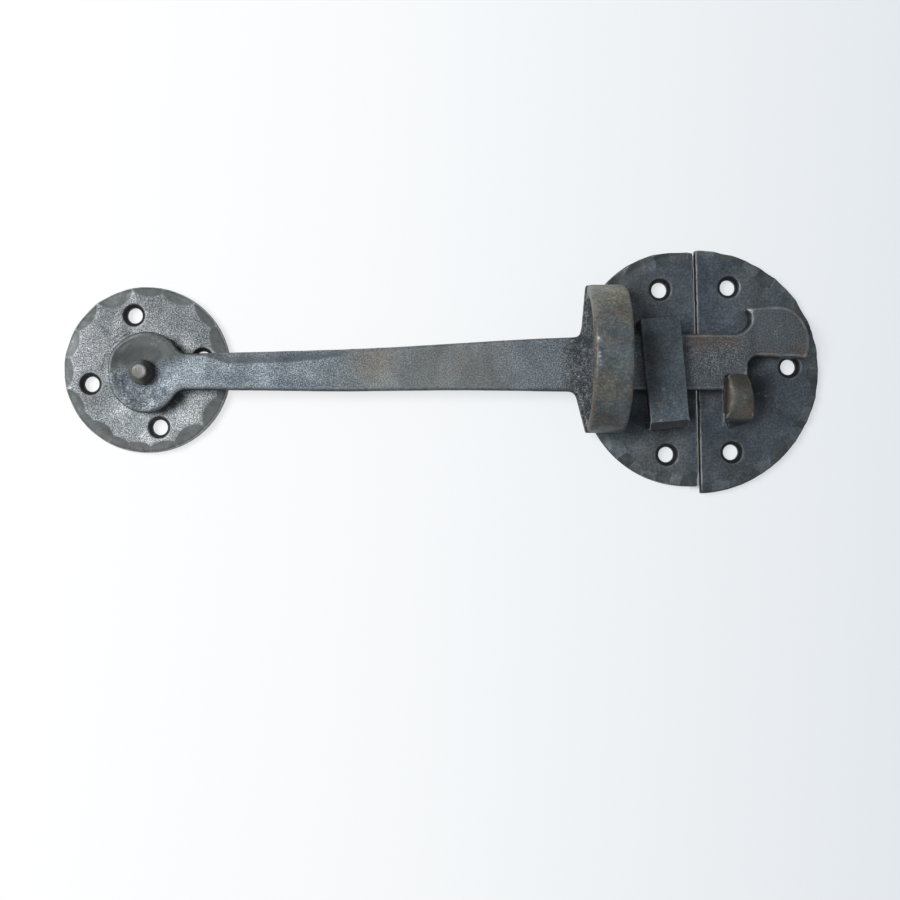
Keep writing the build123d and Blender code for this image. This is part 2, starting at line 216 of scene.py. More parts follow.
def rough_noise(points, size, seed):
    """Three lattice noises added, each half as wide and half as strong as the last, scaled to -1 to 1."""
    total = lattice_noise(points, size, seed)
    total += lattice_noise(points, size / 2, seed + 1) / 2
    total += lattice_noise(points, size / 4, seed + 2) / 4
    return total / 1.75


def soft_step(values, low, high):
    """0 below `low`, 1 above `high`, and t*t*(3 - 2*t) between them."""
    t = np.clip((values - low) / (high - low), 0, 1)
    return t * t * (3 - 2 * t)


def weighted(*parts):
    """The sum of masks, each times its own weight."""
    return sum(weight * mask for weight, mask in parts)


def strongest(*masks):
    """The highest of several masks at each point."""
    return np.maximum.reduce(np.broadcast_arrays(*masks))


def one_dent(points, place, reach, depth):
    """The hollow of a round hammer face: depth * (1 - (distance / reach)**2), and 0 farther out."""
    return depth * np.clip(1 - np.sum((points - place) ** 2, axis=1) / reach**2, 0, 1)


def struck(points, places, reach, depth):
    """How deep hammer dents have sunk in at each point, the deepest where marks meet."""
    deepest = np.zeros(len(points))
    for dent in zip(places, reach, depth):
        deepest = np.maximum(deepest, one_dent(points, *dent))
    return deepest


def facet_tone(points, places, reach, depth, seed):
    """A tone for each dent, even all over it, and how near each point is to the crest where two dents meet.

    A point belongs to the dent that is the deepest there. The crest is exp(-((first - second) / 0.02 mm)**2)
    of the two deepest, where the second is over 0.015 mm.
    """
    tones = np.random.default_rng(seed).uniform(-1, 1, len(depth))
    first = np.zeros(len(points))
    second = np.zeros(len(points))
    tone = np.zeros(len(points))
    for *dent, dent_tone in zip(places, reach, depth, tones):
        sunk = one_dent(points, *dent)
        deeper = sunk > first
        second = np.where(deeper, first, np.maximum(second, sunk))
        tone = np.where(deeper, dent_tone, tone)
        first = np.where(deeper, sunk, first)
    crest = np.exp(-(((first - second) / (0.02 * mm)) ** 2)) * soft_step(second, 0.015 * mm, 0.03 * mm)
    return tone * soft_step(first, 0, 0.02 * mm), crest


def neighbour_mean(values, pairs, count):
    """The mean of each point's neighbours along the edges in `pairs`."""
    a, b = pairs[:, 0], pairs[:, 1]
    size = len(values)
    columns = [
        np.bincount(a, values[b, k], size) + np.bincount(b, values[a, k], size)
        for k in range(values.shape[1])
    ]
    return np.stack(columns, axis=1) / count[:, None]


class Skin:
    """A closed surface over one node: its points, which edges join them, and which way each point faces."""

    def __init__(self, node, cell, rounds):
        self.node = node
        self.notes = {}
        self.mesh = self.wrapped(node, cell)
        size = len(self.mesh.vertices)
        flat = np.empty(size * 3)
        self.mesh.vertices.foreach_get("co", flat)
        self.points = flat.reshape(-1, 3)
        ends = np.empty(len(self.mesh.edges) * 2, np.int32)
        self.mesh.edges.foreach_get("vertices", ends)
        self.pairs = ends.reshape(-1, 2)
        self.count = np.bincount(self.pairs.ravel(), minlength=size).astype(float)
        self.ease(rounds)
        self.face_out()
        self.bend = self.bend_of(cell)

    def wrapped(self, node, cell):
        """The node's solid, its loose triangles merged, wrapped in a net of square cells of side `cell`."""
        solid = bpy.data.meshes.new(node + "_solid")
        loose = bmesh.new()
        loose.from_mesh(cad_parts[node].data)
        bmesh.ops.remove_doubles(loose, verts=loose.verts, dist=1e-6)
        loose.to_mesh(solid)
        loose.free()
        solid.materials.clear()
        form = bpy.data.objects.new(node + "_form", solid)
        scene.collection.objects.link(form)
        net = form.modifiers.new("even_net", "REMESH")
        net.mode = "VOXEL"
        net.voxel_size = cell
        bpy.context.view_layer.update()
        seen = form.evaluated_get(bpy.context.evaluated_depsgraph_get())
        mesh = bpy.data.meshes.new_from_object(seen)
        bpy.data.objects.remove(form)
        bpy.data.meshes.remove(solid)
        return mesh

    def ease(self, rounds, share=None):
        """Each round moves every point half way to its neighbours' mean, or the given share of that half way.

        Sharp edges turn round and flats stay.
        """
        pull = 0.5 if share is None else 0.5 * share[:, None]
        for _ in range(rounds):
            mean = neighbour_mean(self.points, self.pairs, self.count)
            self.points = self.points + (mean - self.points) * pull

    def face_out(self):
        """Puts the points back in the mesh, none under the table, and reads which way each one faces."""
        self.points[:, 2] = np.maximum(self.points[:, 2], 0)
        self.mesh.vertices.foreach_set("co", self.points.ravel())
        self.mesh.update()
        facing = np.empty(len(self.points) * 3)
        self.mesh.vertex_normals.foreach_get("vector", facing)
        self.facing = facing.reshape(-1, 3)

    def bend_of(self, cell):
        """How far each point stands out of its neighbours' mean, in cells.

        It is above 0 on ridges and below 0 in hollows, evened out three times with the neighbours.
        """
        out = self.points - neighbour_mean(self.points, self.pairs, self.count)
        bend = np.sum(out * self.facing, axis=1, keepdims=True) / cell
        for _ in range(3):
            bend = (bend + neighbour_mean(bend, self.pairs, self.count)) / 2
        return bend[:, 0]

    def sink(self, depth):
        """Moves every point inwards by `depth`, least where the piece lies on the table."""
        lift = soft_step(self.points[:, 2], 0.3 * mm, 1.2 * mm)
        self.points = self.points - self.facing * (depth * lift)[:, None]
        self.face_out()

    def chip(self, size, depth, seed):
        """Bites into ridges, the more the sharper they are.

        The bite is depth * (noise - 0.1) * 2 where a noise of the given size is above 0.1.
        """
        bite = np.clip(rough_noise(self.points, size, seed) - 0.1, 0, 0.5) * 2
        self.sink(depth * bite * soft_step(self.bend, 0.02, 0.12))

    def note(self, name, values):
        """Keeps one number for each point, for the materials to read."""
        self.notes[name] = np.broadcast_to(values, len(self.points))

    def finish(self, name, body, *finishes):
        """Makes the skin a smooth shaded piece, which stands for the node and rides with its body."""
        self.note("bend", self.bend)
        for label in ("tone", "stain", "olive", "smooth", "pitted"):
            if label not in self.notes:
                self.note(label, 0.0)
        for label, values in self.notes.items():
            layer = self.mesh.attributes.new(label, "FLOAT", "POINT")
            layer.data.foreach_set("value", np.asarray(values, np.float32))
        self.mesh.name = name
        self.mesh.shade_smooth()
        piece = bpy.data.objects.new(name, self.mesh)
        scene.collection.objects.link(piece)
        for paint in finishes:
            self.mesh.materials.append(paint)
        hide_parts(self.node)
        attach(piece, body)


# Masks: places are given in mm

def away_from(points, x, y):
    """Each point's level distance from a place."""
    return np.hypot(points[:, 0] - x * mm, points[:, 1] - y * mm)


def spots(points, places):
    """Soft round spots, exp(-(distance / reach)**2) times their strength, the strongest where they meet.

    Each place is X, Y, reach and strength.
    """
    most = np.zeros(len(points))
    for x, y, reach, strength in places:
        apart = (points[:, 0] - x * mm) ** 2 + (points[:, 1] - y * mm) ** 2
        most = np.maximum(most, strength * np.exp(-apart / (reach * mm) ** 2))
    return most


def patch(points, across, along, soft):
    """1 inside a rectangle and 0 outside. Its sides fade over `soft` mm and noise moves them about."""
    shift = rough_noise(points, 3 * mm, 97) * soft * 0.6
    inside = 1
    for axis, (low, high) in enumerate((across, along)):
        place = points[:, axis] / mm + shift
        ended = soft_step(place, high - soft, high + soft)
        inside = inside * (soft_step(place, low - soft, low + soft) - ended)
    return inside


def turned(x, y, reach, start, spread, count):
    """The middles of holes on a circle of that reach, `spread` degrees apart."""
    turns = [math.radians(start + spread * k) for k in range(count)]
    return [(x + reach * math.cos(t), y + reach * math.sin(t)) for t in turns]


def scattered(seed, count, across, along, z, reach, depth):
    """Hammer dents at even random places in a rectangle, with reaches and depths between the two given."""
    pick = np.random.default_rng(seed)
    x, y = pick.uniform(*across, count), pick.uniform(*along, count)
    places = np.stack([x, y, np.full(count, z)], axis=1)
    return places * mm, pick.uniform(*reach, count) * mm, pick.uniform(*depth, count) * mm


def rim_dents(seed, middle, rim_r):
    """Small hammer dents all round a rim, 4 to 9 degrees apart, with uneven places, reaches and depths."""
    count = 56
    face_height = 3.4
    pick = np.random.default_rng(seed)
    turn = np.radians(np.cumsum(pick.uniform(4, 9, count)))
    out = rim_r + pick.uniform(-1.8, 1.0, count)
    across, along = middle[0] + out * np.cos(turn), middle[1] + out * np.sin(turn)
    places = np.stack([across, along, np.full(count, face_height)], axis=1)
    return places * mm, pick.uniform(2.4, 4.6, count) * mm, pick.uniform(0.12, 0.4, count) * mm


def side_walls(skin, low=0.3, high=0.62):
    """1 on faces that stand upright and 0 on those that look up or down."""
    return 1 - soft_step(np.abs(skin.facing[:, 2]), low, high)


def lamp_side(skin):
    """How squarely each point faces the lamp's side, which is -X."""
    return np.clip(-skin.facing[:, 0], 0, 1)


def sunk_walls(points, holes):
    """1 on the countersunk holes' walls: within 3.5 mm of a hole's middle and under the plate's top."""
    near = np.zeros(len(points))
    for hole in holes:
        near = np.maximum(near, 1 - soft_step(away_from(points, *hole), 3.35 * mm, 3.75 * mm))
    return near * (1 - soft_step(points[:, 2], plate_top - 0.25 * mm, plate_top + 0.05 * mm))


def hammered_rim(skin, holes, rim_r, middle):
    """1 on a rim's hammer marks: facing up, under the plate's top, away from the holes and the middle."""
    below = 1 - soft_step(skin.points[:, 2], plate_top - 0.16 * mm, plate_top - 0.05 * mm)
    upward = soft_step(skin.facing[:, 2], 0.72, 0.86)
    out = away_from(skin.points, *middle)
    marks = below * upward * soft_step(out, rim_r * 0.72 * mm, rim_r * 0.76 * mm)
    for hole in holes:
        marks = marks * soft_step(away_from(skin.points, *hole), 3.8 * mm, 4.3 * mm)
    return marks


# Shader groups

def new_group(name, inputs, outputs):
    """An empty shader group with the named number or vector sockets."""
    group = bpy.data.node_groups.new(name, "ShaderNodeTree")
    kinds = {"value": "NodeSocketFloat", "vector": "NodeSocketVector"}
    for label, kind, start in inputs:
        socket = group.interface.new_socket(label, in_out="INPUT", socket_type=kinds[kind])
        if start is not None:
            socket.default_value = start
    for label, kind in outputs:
        group.interface.new_socket(label, in_out="OUTPUT", socket_type=kinds[kind])
    return group, group.nodes.new("NodeGroupInput"), group.nodes.new("NodeGroupOutput")


def feed(tree, value, socket):
    """Sets a socket to a plain number, or links it to another one."""
    if isinstance(value, (int, float)):
        socket.default_value = value
    else:
        tree.links.new(value, socket)


def sum_node(tree, operation, *values):
    """A Math node on sockets or plain numbers."""
    node = tree.nodes.new("ShaderNodeMath")
    node.operation = operation
    for value, socket in zip(values, node.inputs):
        feed(tree, value, socket)
    return node.outputs[0]


def product(tree, first, *others):
    """Sockets or plain numbers multiplied together."""
    for other in others:
        first = sum_node(tree, "MULTIPLY", first, other)
    return first


def stretch(tree, value, low, high, to_low=0.0, to_high=1.0):
    """Spreads the values between `low` and `high` smoothly over `to_low` to `to_high`.

    The ends may be sockets.
    """
    node = tree.nodes.new("ShaderNodeMapRange")
    node.interpolation_type = "SMOOTHSTEP"
    tree.links.new(value, node.inputs["Value"])
    ends = {"From Min": low, "From Max": high, "To Min": to_low, "To Max": to_high}
    for label, end in ends.items():
        feed(tree, end, node.inputs[label])
    return node.outputs["Result"]


def noise_node(tree, where, scale, detail, roughness=0.5, distortion=0.0, output="Fac"):
    """A noise on the given coordinates. The scale may be a socket."""
    node = tree.nodes.new("ShaderNodeTexNoise")
    tree.links.new(where, node.inputs["Vector"])
    feed(tree, scale, node.inputs["Scale"])
    node.inputs["Detail"].default_value = detail
    node.inputs["Roughness"].default_value = roughness
    node.inputs["Distortion"].default_value = distortion
    return node.outputs[output]


def scale_grain():
    """Fine sandy scale with pits: noise for the grain, small round cells for the pits, thicker in places."""
    group, give, out = new_group(
        "scale_grain",
        [
            ("Vector", "vector", None),
            ("Grains per m", "value", 2000.0),
            ("Pits per m", "value", 900.0),
            ("Pit Share", "value", 0.5),
            ("Pit Depth", "value", 0.5),
            ("Pitted", "value", 0.0),
        ],
        [("Height", "value"), ("Pits", "value"), ("Rims", "value"), ("Speckle", "value")],
    )
    where = give.outputs["Vector"]
    grain = noise_node(group, where, give.outputs["Grains per m"], 4, 0.65)

    # The cells' coordinates wander by up to a millimetre, so that no pit is a true circle.
    moved = group.nodes.new("ShaderNodeVectorMath")
    moved.operation = "MULTIPLY_ADD"
    moved.inputs[1].default_value = (0.0011, 0.0011, 0.0011)
    group.links.new(noise_node(group, where, 1300.0, 2, output="Color"), moved.inputs[0])
    group.links.new(where, moved.inputs[2])
    cells = group.nodes.new("ShaderNodeTexVoronoi")
    cells.inputs["Randomness"].default_value = 1
    group.links.new(moved.outputs[0], cells.inputs["Vector"])
    group.links.new(give.outputs["Pits per m"], cells.inputs["Scale"])
    apart = cells.outputs["Distance"]
    dice = group.nodes.new("ShaderNodeSeparateColor")
    group.links.new(cells.outputs["Color"], dice.inputs[0])
    chosen = sum_node(group, "LESS_THAN", dice.outputs[0], give.outputs["Pit Share"])

    crowd = product(group, stretch(group, noise_node(group, where, 140.0, 2), 0.5, 0.68), 0.6)
    crowd = sum_node(group, "MAXIMUM", crowd, give.outputs["Pitted"])
    wide = sum_node(group, "MULTIPLY_ADD", dice.outputs[1], 0.35, 0.2)
    dip = stretch(group, apart, 0.0, wide, 1.0, 0.0)
    pits = product(group, dip, chosen, crowd)
    lip = sum_node(group, "SUBTRACT", stretch(group, apart, wide, product(group, wide, 1.7), 1.0, 0.0), dip)
    rims = product(group, lip, chosen, crowd, stretch(group, grain, 0.42, 0.62, 0.1, 1.0))
    height = sum_node(group, "SUBTRACT", grain, product(group, pits, give.outputs["Pit Depth"]))

    group.links.new(height, out.inputs["Height"])
    group.links.new(pits, out.inputs["Pits"])
    group.links.new(sum_node(group, "MAXIMUM", rims, 0.0), out.inputs["Rims"])
    group.links.new(stretch(group, grain, 0.33, 0.67), out.inputs["Speckle"])
    return group


def file_strokes():
    """Faint straight strokes left by dressing: a noise drawn out ten times along a slant, here and there."""
    group, give, out = new_group("file_strokes", [("Vector", "vector", None)], [("Strokes", "value")])
    slant = group.nodes.new("ShaderNodeMapping")
    slant.inputs["Rotation"].default_value = (0, 0, math.radians(-38))
    slant.inputs["Scale"].default_value = (0.1, 1, 1)
    group.links.new(give.outputs["Vector"], slant.inputs["Vector"])
    drawn = noise_node(group, slant.outputs["Vector"], 1500.0, 3, 0.6)
    strength = stretch(group, noise_node(group, give.outputs["Vector"], 110.0, 2), 0.45, 0.65)
    centred = sum_node(group, "MULTIPLY_ADD", drawn, 2.0, -1.0)
    group.links.new(product(group, centred, strength), out.inputs["Strokes"])
    return group


def patchy_scale():
    """Two masks for the cloudy look of blackened iron: broad patches and small flecks."""
    group, give, out = new_group(
        "patchy_scale",
        [("Vector", "vector", None), ("Patches per m", "value", 90.0), ("Flecks per m", "value", 420.0)],
        [("Patches", "value"), ("Flecks", "value")],
    )
    where = give.outputs["Vector"]
    broad = noise_node(group, where, give.outputs["Patches per m"], 4, 0.6, 0.6)
    small = noise_node(group, where, give.outputs["Flecks per m"], 3, 0.6)
    group.links.new(stretch(group, broad, 0.36, 0.64), out.inputs["Patches"])
    group.links.new(stretch(group, small, 0.5, 0.7), out.inputs["Flecks"])
    return group


def rubbed_ridges():
    """A mask for ridges whose scale is rubbed off: the skin's bend above a limit, broken up by noise."""
    group, give, out = new_group(
        "rubbed_ridges",
        [
            ("Vector", "vector", None),
            ("Bend", "value", 0.0),
            ("Starts at", "value", 0.03),
            ("Amount", "value", 1.0),
        ],
        [("Rubbed", "value")],
    )
    uneven = noise_node(group, give.outputs["Vector"], 350.0, 3, 0.6)
    shift = sum_node(group, "MULTIPLY_ADD", uneven, -0.06, 0.03)
    bent = sum_node(group, "SUBTRACT", give.outputs["Bend"], shift)
    full = sum_node(group, "ADD", give.outputs["Starts at"], 0.07)
    mask = stretch(group, bent, give.outputs["Starts at"], full)
    group.links.new(product(group, mask, give.outputs["Amount"]), out.inputs["Rubbed"])
    return group


groups = {
    "grain": scale_grain(),
    "strokes": file_strokes(),
    "patches": patchy_scale(),
    "rubbed": rubbed_ridges(),
}


def placed_group(tree, group, where, **numbers):
    """A shared group in a material, with its numbers set. An underscore in a name stands for a space."""
    node = tree.nodes.new("ShaderNodeGroup")
    node.node_tree = groups[group]
    tree.links.new(where, node.inputs["Vector"])
    for label, number in numbers.items():
        node.inputs[label.replace("_", " ")].default_value = number
    return node


def blended(tree, share, first, second):
    """A mix of two colours, either of which may be a socket."""
    node = tree.nodes.new("ShaderNodeMix")
    node.data_type = "RGBA"
    tree.links.new(share, node.inputs["Factor"])
    for socket, colour in ((node.inputs[6], first), (node.inputs[7], second)):
        if isinstance(colour, tuple):
            socket.default_value = (*colour, 1)
        else:
            tree.links.new(colour, socket)
    return node.outputs[2]


def number_at(tree, name):
    """The number that the skin keeps under this name."""
    node = tree.nodes.new("ShaderNodeAttribute")
    node.attribute_name = name
    return node.outputs["Fac"]


def scaled_colour(tree, colour, number):
    """A colour times a number."""
    node = tree.nodes.new("ShaderNodeVectorMath")
    node.operation = "SCALE"
    tree.links.new(colour, node.inputs[0])
    tree.links.new(number, node.inputs["Scale"])
    return node.outputs[0]


def forged_finish(
    name,
    scale,
    cloud,
    brown,
    bare,
    green=(0.1, 0.105, 0.09),
    grains=1900.0,
    pits=900.0,
    pit_share=0.5,
    pit_depth=0.5,
    bump=0.00006,
    rub_starts=0.03,
    rub=0.6,
    speckle=0.35,
    stroke=0.15,
    rims=0.3,
    roughness=(0.42, 0.62),
):
    """Blackened forged iron.

    Dark scale with paler clouds, then green and brown stains, darker and lighter parts (painted shade and
    highlights among them), bare ridges and dark pits, each where the skin's numbers of that name say. The
    grain shows in the colour and as bumps.
    `grains` and `pits` are per metre, `pit_share` is the share of cells with a pit, and `bump` is the relief
    in metres. Ridges turn bare from a bend of `rub_starts`, by the share `rub`. `speckle`, `stroke` and
    `rims` say how strongly the grain, the file strokes and the pits' rims show in the colour.
    """
    pit_black = (0.012, 0.011, 0.012)
    finish = bpy.data.materials.new(name)
    finish.use_nodes = True
    tree = finish.node_tree
    shader = tree.nodes["Principled BSDF"]
    where = tree.nodes.new("ShaderNodeTexCoord").outputs["Object"]
    grain = placed_group(
        tree, "grain", where, Grains_per_m=grains, Pits_per_m=pits, Pit_Share=pit_share, Pit_Depth=pit_depth
    )
    patches = placed_group(tree, "patches", where)
    ridges = placed_group(tree, "rubbed", where, Starts_at=rub_starts, Amount=rub)
    strokes = placed_group(tree, "strokes", where).outputs["Strokes"]
    tree.links.new(number_at(tree, "bend"), ridges.inputs["Bend"])
    tree.links.new(number_at(tree, "pitted"), grain.inputs["Pitted"])
    rubbed = ridges.outputs["Rubbed"]
    rough_share = sum_node(tree, "MULTIPLY_ADD", number_at(tree, "smooth"), -0.85, 1.0)
    uneven = sum_node(tree, "MULTIPLY_ADD", patches.outputs["Flecks"], 0.5, 0.6)

    colour = blended(tree, patches.outputs["Patches"], scale, cloud)
    colour = blended(tree, product(tree, uneven, number_at(tree, "olive")), colour, green)
    colour = blended(tree, product(tree, uneven, number_at(tree, "stain")), colour, brown)
    swing = sum_node(tree, "SUBTRACT", grain.outputs["Speckle"], 0.45)
    swing = product(tree, swing, rough_share, 2 * speckle)
    swing = sum_node(tree, "MULTIPLY_ADD", strokes, stroke, swing)
    swing = sum_node(tree, "ADD", swing, number_at(tree, "tone"))
    colour = scaled_colour(tree, colour, sum_node(tree, "POWER", 2.0, swing))
    colour = blended(tree, rubbed, colour, bare)
    colour = blended(tree, product(tree, grain.outputs["Rims"], rims), colour, bare)
    colour = blended(tree, product(tree, grain.outputs["Pits"], 0.7), colour, pit_black)
    tree.links.new(colour, shader.inputs["Base Color"])

    rough = stretch(tree, patches.outputs["Patches"], 0.0, 1.0, roughness[1], roughness[0])
    rough = sum_node(tree, "MULTIPLY_ADD", strokes, 0.06, rough)
    rough = sum_node(tree, "MULTIPLY_ADD", rubbed, -0.12, rough)
    tree.links.new(rough, shader.inputs["Roughness"])
    shader.inputs["Metallic"].default_value = 0.4
    shader.inputs["Specular IOR Level"].default_value = 0.25
    relief = tree.nodes.new("ShaderNodeBump")
    relief.inputs["Distance"].default_value = bump
    height = sum_node(tree, "MULTIPLY_ADD", strokes, 0.25, grain.outputs["Height"])
    tree.links.new(height, relief.inputs["Height"])
    tree.links.new(rough_share, relief.inputs["Strength"])
    tree.links.new(relief.outputs["Normal"], shader.inputs["Normal"])
    return finish


# The pieces

def scored_arcs(out, turn):
    """Faint arcs round the eye: exp(-((out - reach) / 0.22)**2), each between its two turns in degrees."""
    arcs = np.zeros(len(out))
    for reach, start, end in ((13.6, 108, 150), (14.7, 118, 140), (12.6, 40, 62), (13.9, 150, 190)):
        line = np.exp(-(((out - reach) / 0.22) ** 2))
        span = soft_step(turn, start, start + 8) * (1 - soft_step(turn, end - 8, end))
        arcs = np.maximum(arcs, line * span)
    return arcs


def pivot_plate():
    """The small round plate: grainy grey scale and smooth darker hammer marks at the rim. Painted shade
    darkens the marks that face the lamp, the countersinks, the edge and the plate under the arm's neck, and
    the marks' crests get a painted highlight.
    """
    holes = turned(0, 0, reach=17.8, start=12.7, spread=90, count=4)
    middle = (0, 0.5)
    skin = Skin("pivot_plate", plate_cell, rounds=3)
    marks = hammered_rim(skin, holes, rim_r=25.8, middle=middle)
    walls = sunk_walls(skin.points, holes)
    flat = 1 - np.maximum(marks, walls)
    skin.sink(0.1 * mm * flat * (0.5 + 0.5 * rough_noise(skin.points, 2.2 * mm, 11)))

    points = skin.points
    x, y = points[:, 0] / mm, points[:, 1] / mm
    arcs = scored_arcs(away_from(points, *rivet_axis) / mm, np.degrees(np.arctan2(y, x)))
    shade = spots(points, [
        (-14, 8, 7, 1), (-16, -8, 6, 0.6), (-8, 14, 5, 0.7), (20, -4, 7, 0.8), (4, 18, 9, 0.9),
    ])
    # crest: a painted highlight along the borders of the hammer marks.
    crest = 4 * marks * (1 - marks) * (0.5 + 0.5 * rough_noise(points, 1.5 * mm, 13))
    # Painted shadow on the plate under the arm's neck.
    neck_shadow = spots(points, [
        (5.5, -11.8, 1.5, 0.8), (8, -10, 1.9, 1), (10, -8.2, 1.8, 1), (8, 8.6, 1, 1), (9.8, 6.9, 1, 1),
    ])
    # Painted shade: a dark outline round the plate's edge.
    rim_edge_shade = soft_step(away_from(points, *middle), 24.6 * mm, 25.6 * mm)
    low_rim = marks * soft_step(-y, 12, 20)
    rust = spots(points, [(-17, -10, 3, 1), (-20, 4, 2, 1)])
    skin.note("stain", strongest(0.6 * walls, 0.5 * low_rim, 0.25 * rust))
    skin.note("pitted", 0.9 * flat)
    skin.note("olive", 0.8 * marks)
    skin.note("smooth", np.maximum(marks, walls * 0.8))
    skin.note("tone", weighted(
        (-0.3, 1),
        (-0.15, marks),
        # Painted shade: marks that face the lamp are made darker.
        (-3.2, marks * lamp_side(skin)),
        (-0.8, rim_edge_shade),
        # Painted shade in the countersinks' walls, which also get a brown tint of their own.
        (-2.2, walls),
        (-1.2, arcs),
        (-0.35, shade),
        (0.7, crest),
        (-3.0, neck_shadow),
        (0.38, soft_step(-y, -14, 18)),
        (-0.3, soft_step(x, 12, 18)),
        (-0.15, soft_step(-x, 8, 16)),
        (0.3, marks * rough_noise(points, 2 * mm, 15)),
        (0.15, rough_noise(points, 6 * mm, 12)),
        (0.25, flat * rough_noise(points, 1.0 * mm, 14)),
    ))
    finish = forged_finish(
        "grey_scale_plate",
        scale=(0.166, 0.183, 0.194),
        cloud=(0.204, 0.22, 0.232),
        brown=(0.07, 0.052, 0.054),
        bare=(0.36, 0.38, 0.39),
        green=(0.122, 0.142, 0.14),
        grains=2500.0,
        pits=2100.0,
        pit_share=0.4,
        bump=0.00012,
        speckle=1.25,
        rub_starts=0.015,
        rub=0.7,
    )
    skin.finish("pivot_plate_forged", "plates", finish)


def split_plate(node, seed, holes, middle, rim_r):
    """Half of the split round plate, darker than the small one, with small hammer marks round its rim.

    Hands back the skin, the masks of the source's rim marks and of the holes' walls, and the dents' tone,
    which holds a painted highlight on their crests and painted shade at the rim's edge.
    """
    skin = Skin(node, plate_cell, rounds=2)
    dents = rim_dents(seed + 100, middle, rim_r)
    tone, crest = facet_tone(skin.points, *dents, seed + 200)
    # The crest lines become a painted highlight.
    crest_highlight = crest * (0.4 + 0.6 * rough_noise(skin.points, 2 * mm, seed + 3))
    out = away_from(skin.points, *middle)
    # Painted shade: a dark outline round the plate's edge.
    rim_edge_shade = soft_step(out, (rim_r - 0.9) * mm, (rim_r - 0.2) * mm)
    on_plate = skin.points[:, 2] < 3.6 * mm
    facets_and_painted_light = on_plate * weighted((0.65, tone), (2.0, crest_highlight), (-0.6, rim_edge_shade))
    skin.sink(struck(skin.points, *dents) * on_plate)
    chip_depth = 0.25 * mm * (skin.points[:, 2] > 1.5 * mm)
    skin.chip(size=1.4 * mm, depth=chip_depth, seed=seed + 5)
    skin.bend = skin.bend_of(plate_cell)
    marks = hammered_rim(skin, holes, rim_r, middle)
    walls = sunk_walls(skin.points, holes)
    uneven = 0.5 + 0.5 * rough_noise(skin.points, 4 * mm, seed)
    skin.sink(0.08 * mm * uneven * (1 - np.maximum(marks, walls)))
    return skin, marks, walls, facets_and_painted_light


def plate_tone(skin, marks, walls, facets_and_painted_light, seed):
    """The tone of a split plate's hammer marks, and painted shade on its holes' walls, darkest where they
    face the lamp.
    """
    marked = marks * (0.1 + 0.5 * rough_noise(skin.points, 7 * mm, seed))
    return facets_and_painted_light + marked - walls * (1.6 + 2.0 * lamp_side(skin))


def guide_plate(dark):
    """The split plate's left half: olive at top and foot, rusty along the cut, with painted shadows of the
    loop and staple.
    """
    holes = turned(168.8, 0.1, reach=27, start=111.1, spread=71.3, count=3)
    skin, marks, walls, facets_and_painted_light = split_plate("guide_plate", 23, holes, middle=(169.6, 0.5), rim_r=36.6)
    points = skin.points
    seam = patch(points, (169.2, 172.5), (14, 40), 0.6)
    # Painted shadows of the loop and the staple on the plate.
    painted_shadow = spots(points, [
        (151, -9, 4.5, 1), (151, 1, 4.5, 0.8), (151.5, 10, 3, 0.7), (152, -13.5, 3, 0.9),
        (168, -8, 2.6, 1), (168.4, -13, 2.4, 1),
    ])
    skin.note("stain", 0.7 * seam * soft_step(rough_noise(points, 4 * mm, 24), -0.2, 0.4))
    skin.note("olive", strongest(0.5 * marks, spots(points, [(152, 25, 9, 0.55), (158, -27, 11, 0.7)])))
    skin.note("smooth", np.maximum(0.6 * marks, 0.8 * walls))
    skin.note("tone", weighted(
        (1, plate_tone(skin, marks, walls, facets_and_painted_light, 27)),
        (-0.05, 1),
        # Painted shade on the plate's upright side faces.
        (-1.5, side_walls(skin)),
        (-1.5, painted_shadow),
        (0.5, rough_noise(points, 8 * mm, 25)),
        (0.3, rough_noise(points, 2.5 * mm, 26)),
        (-0.3, spots(points, [(152, 30, 8, 1)])),
        (0.6, spots(points, [(166, -24, 6, 1)])),
    ))
    skin.finish("guide_plate_forged", "plates", dark)


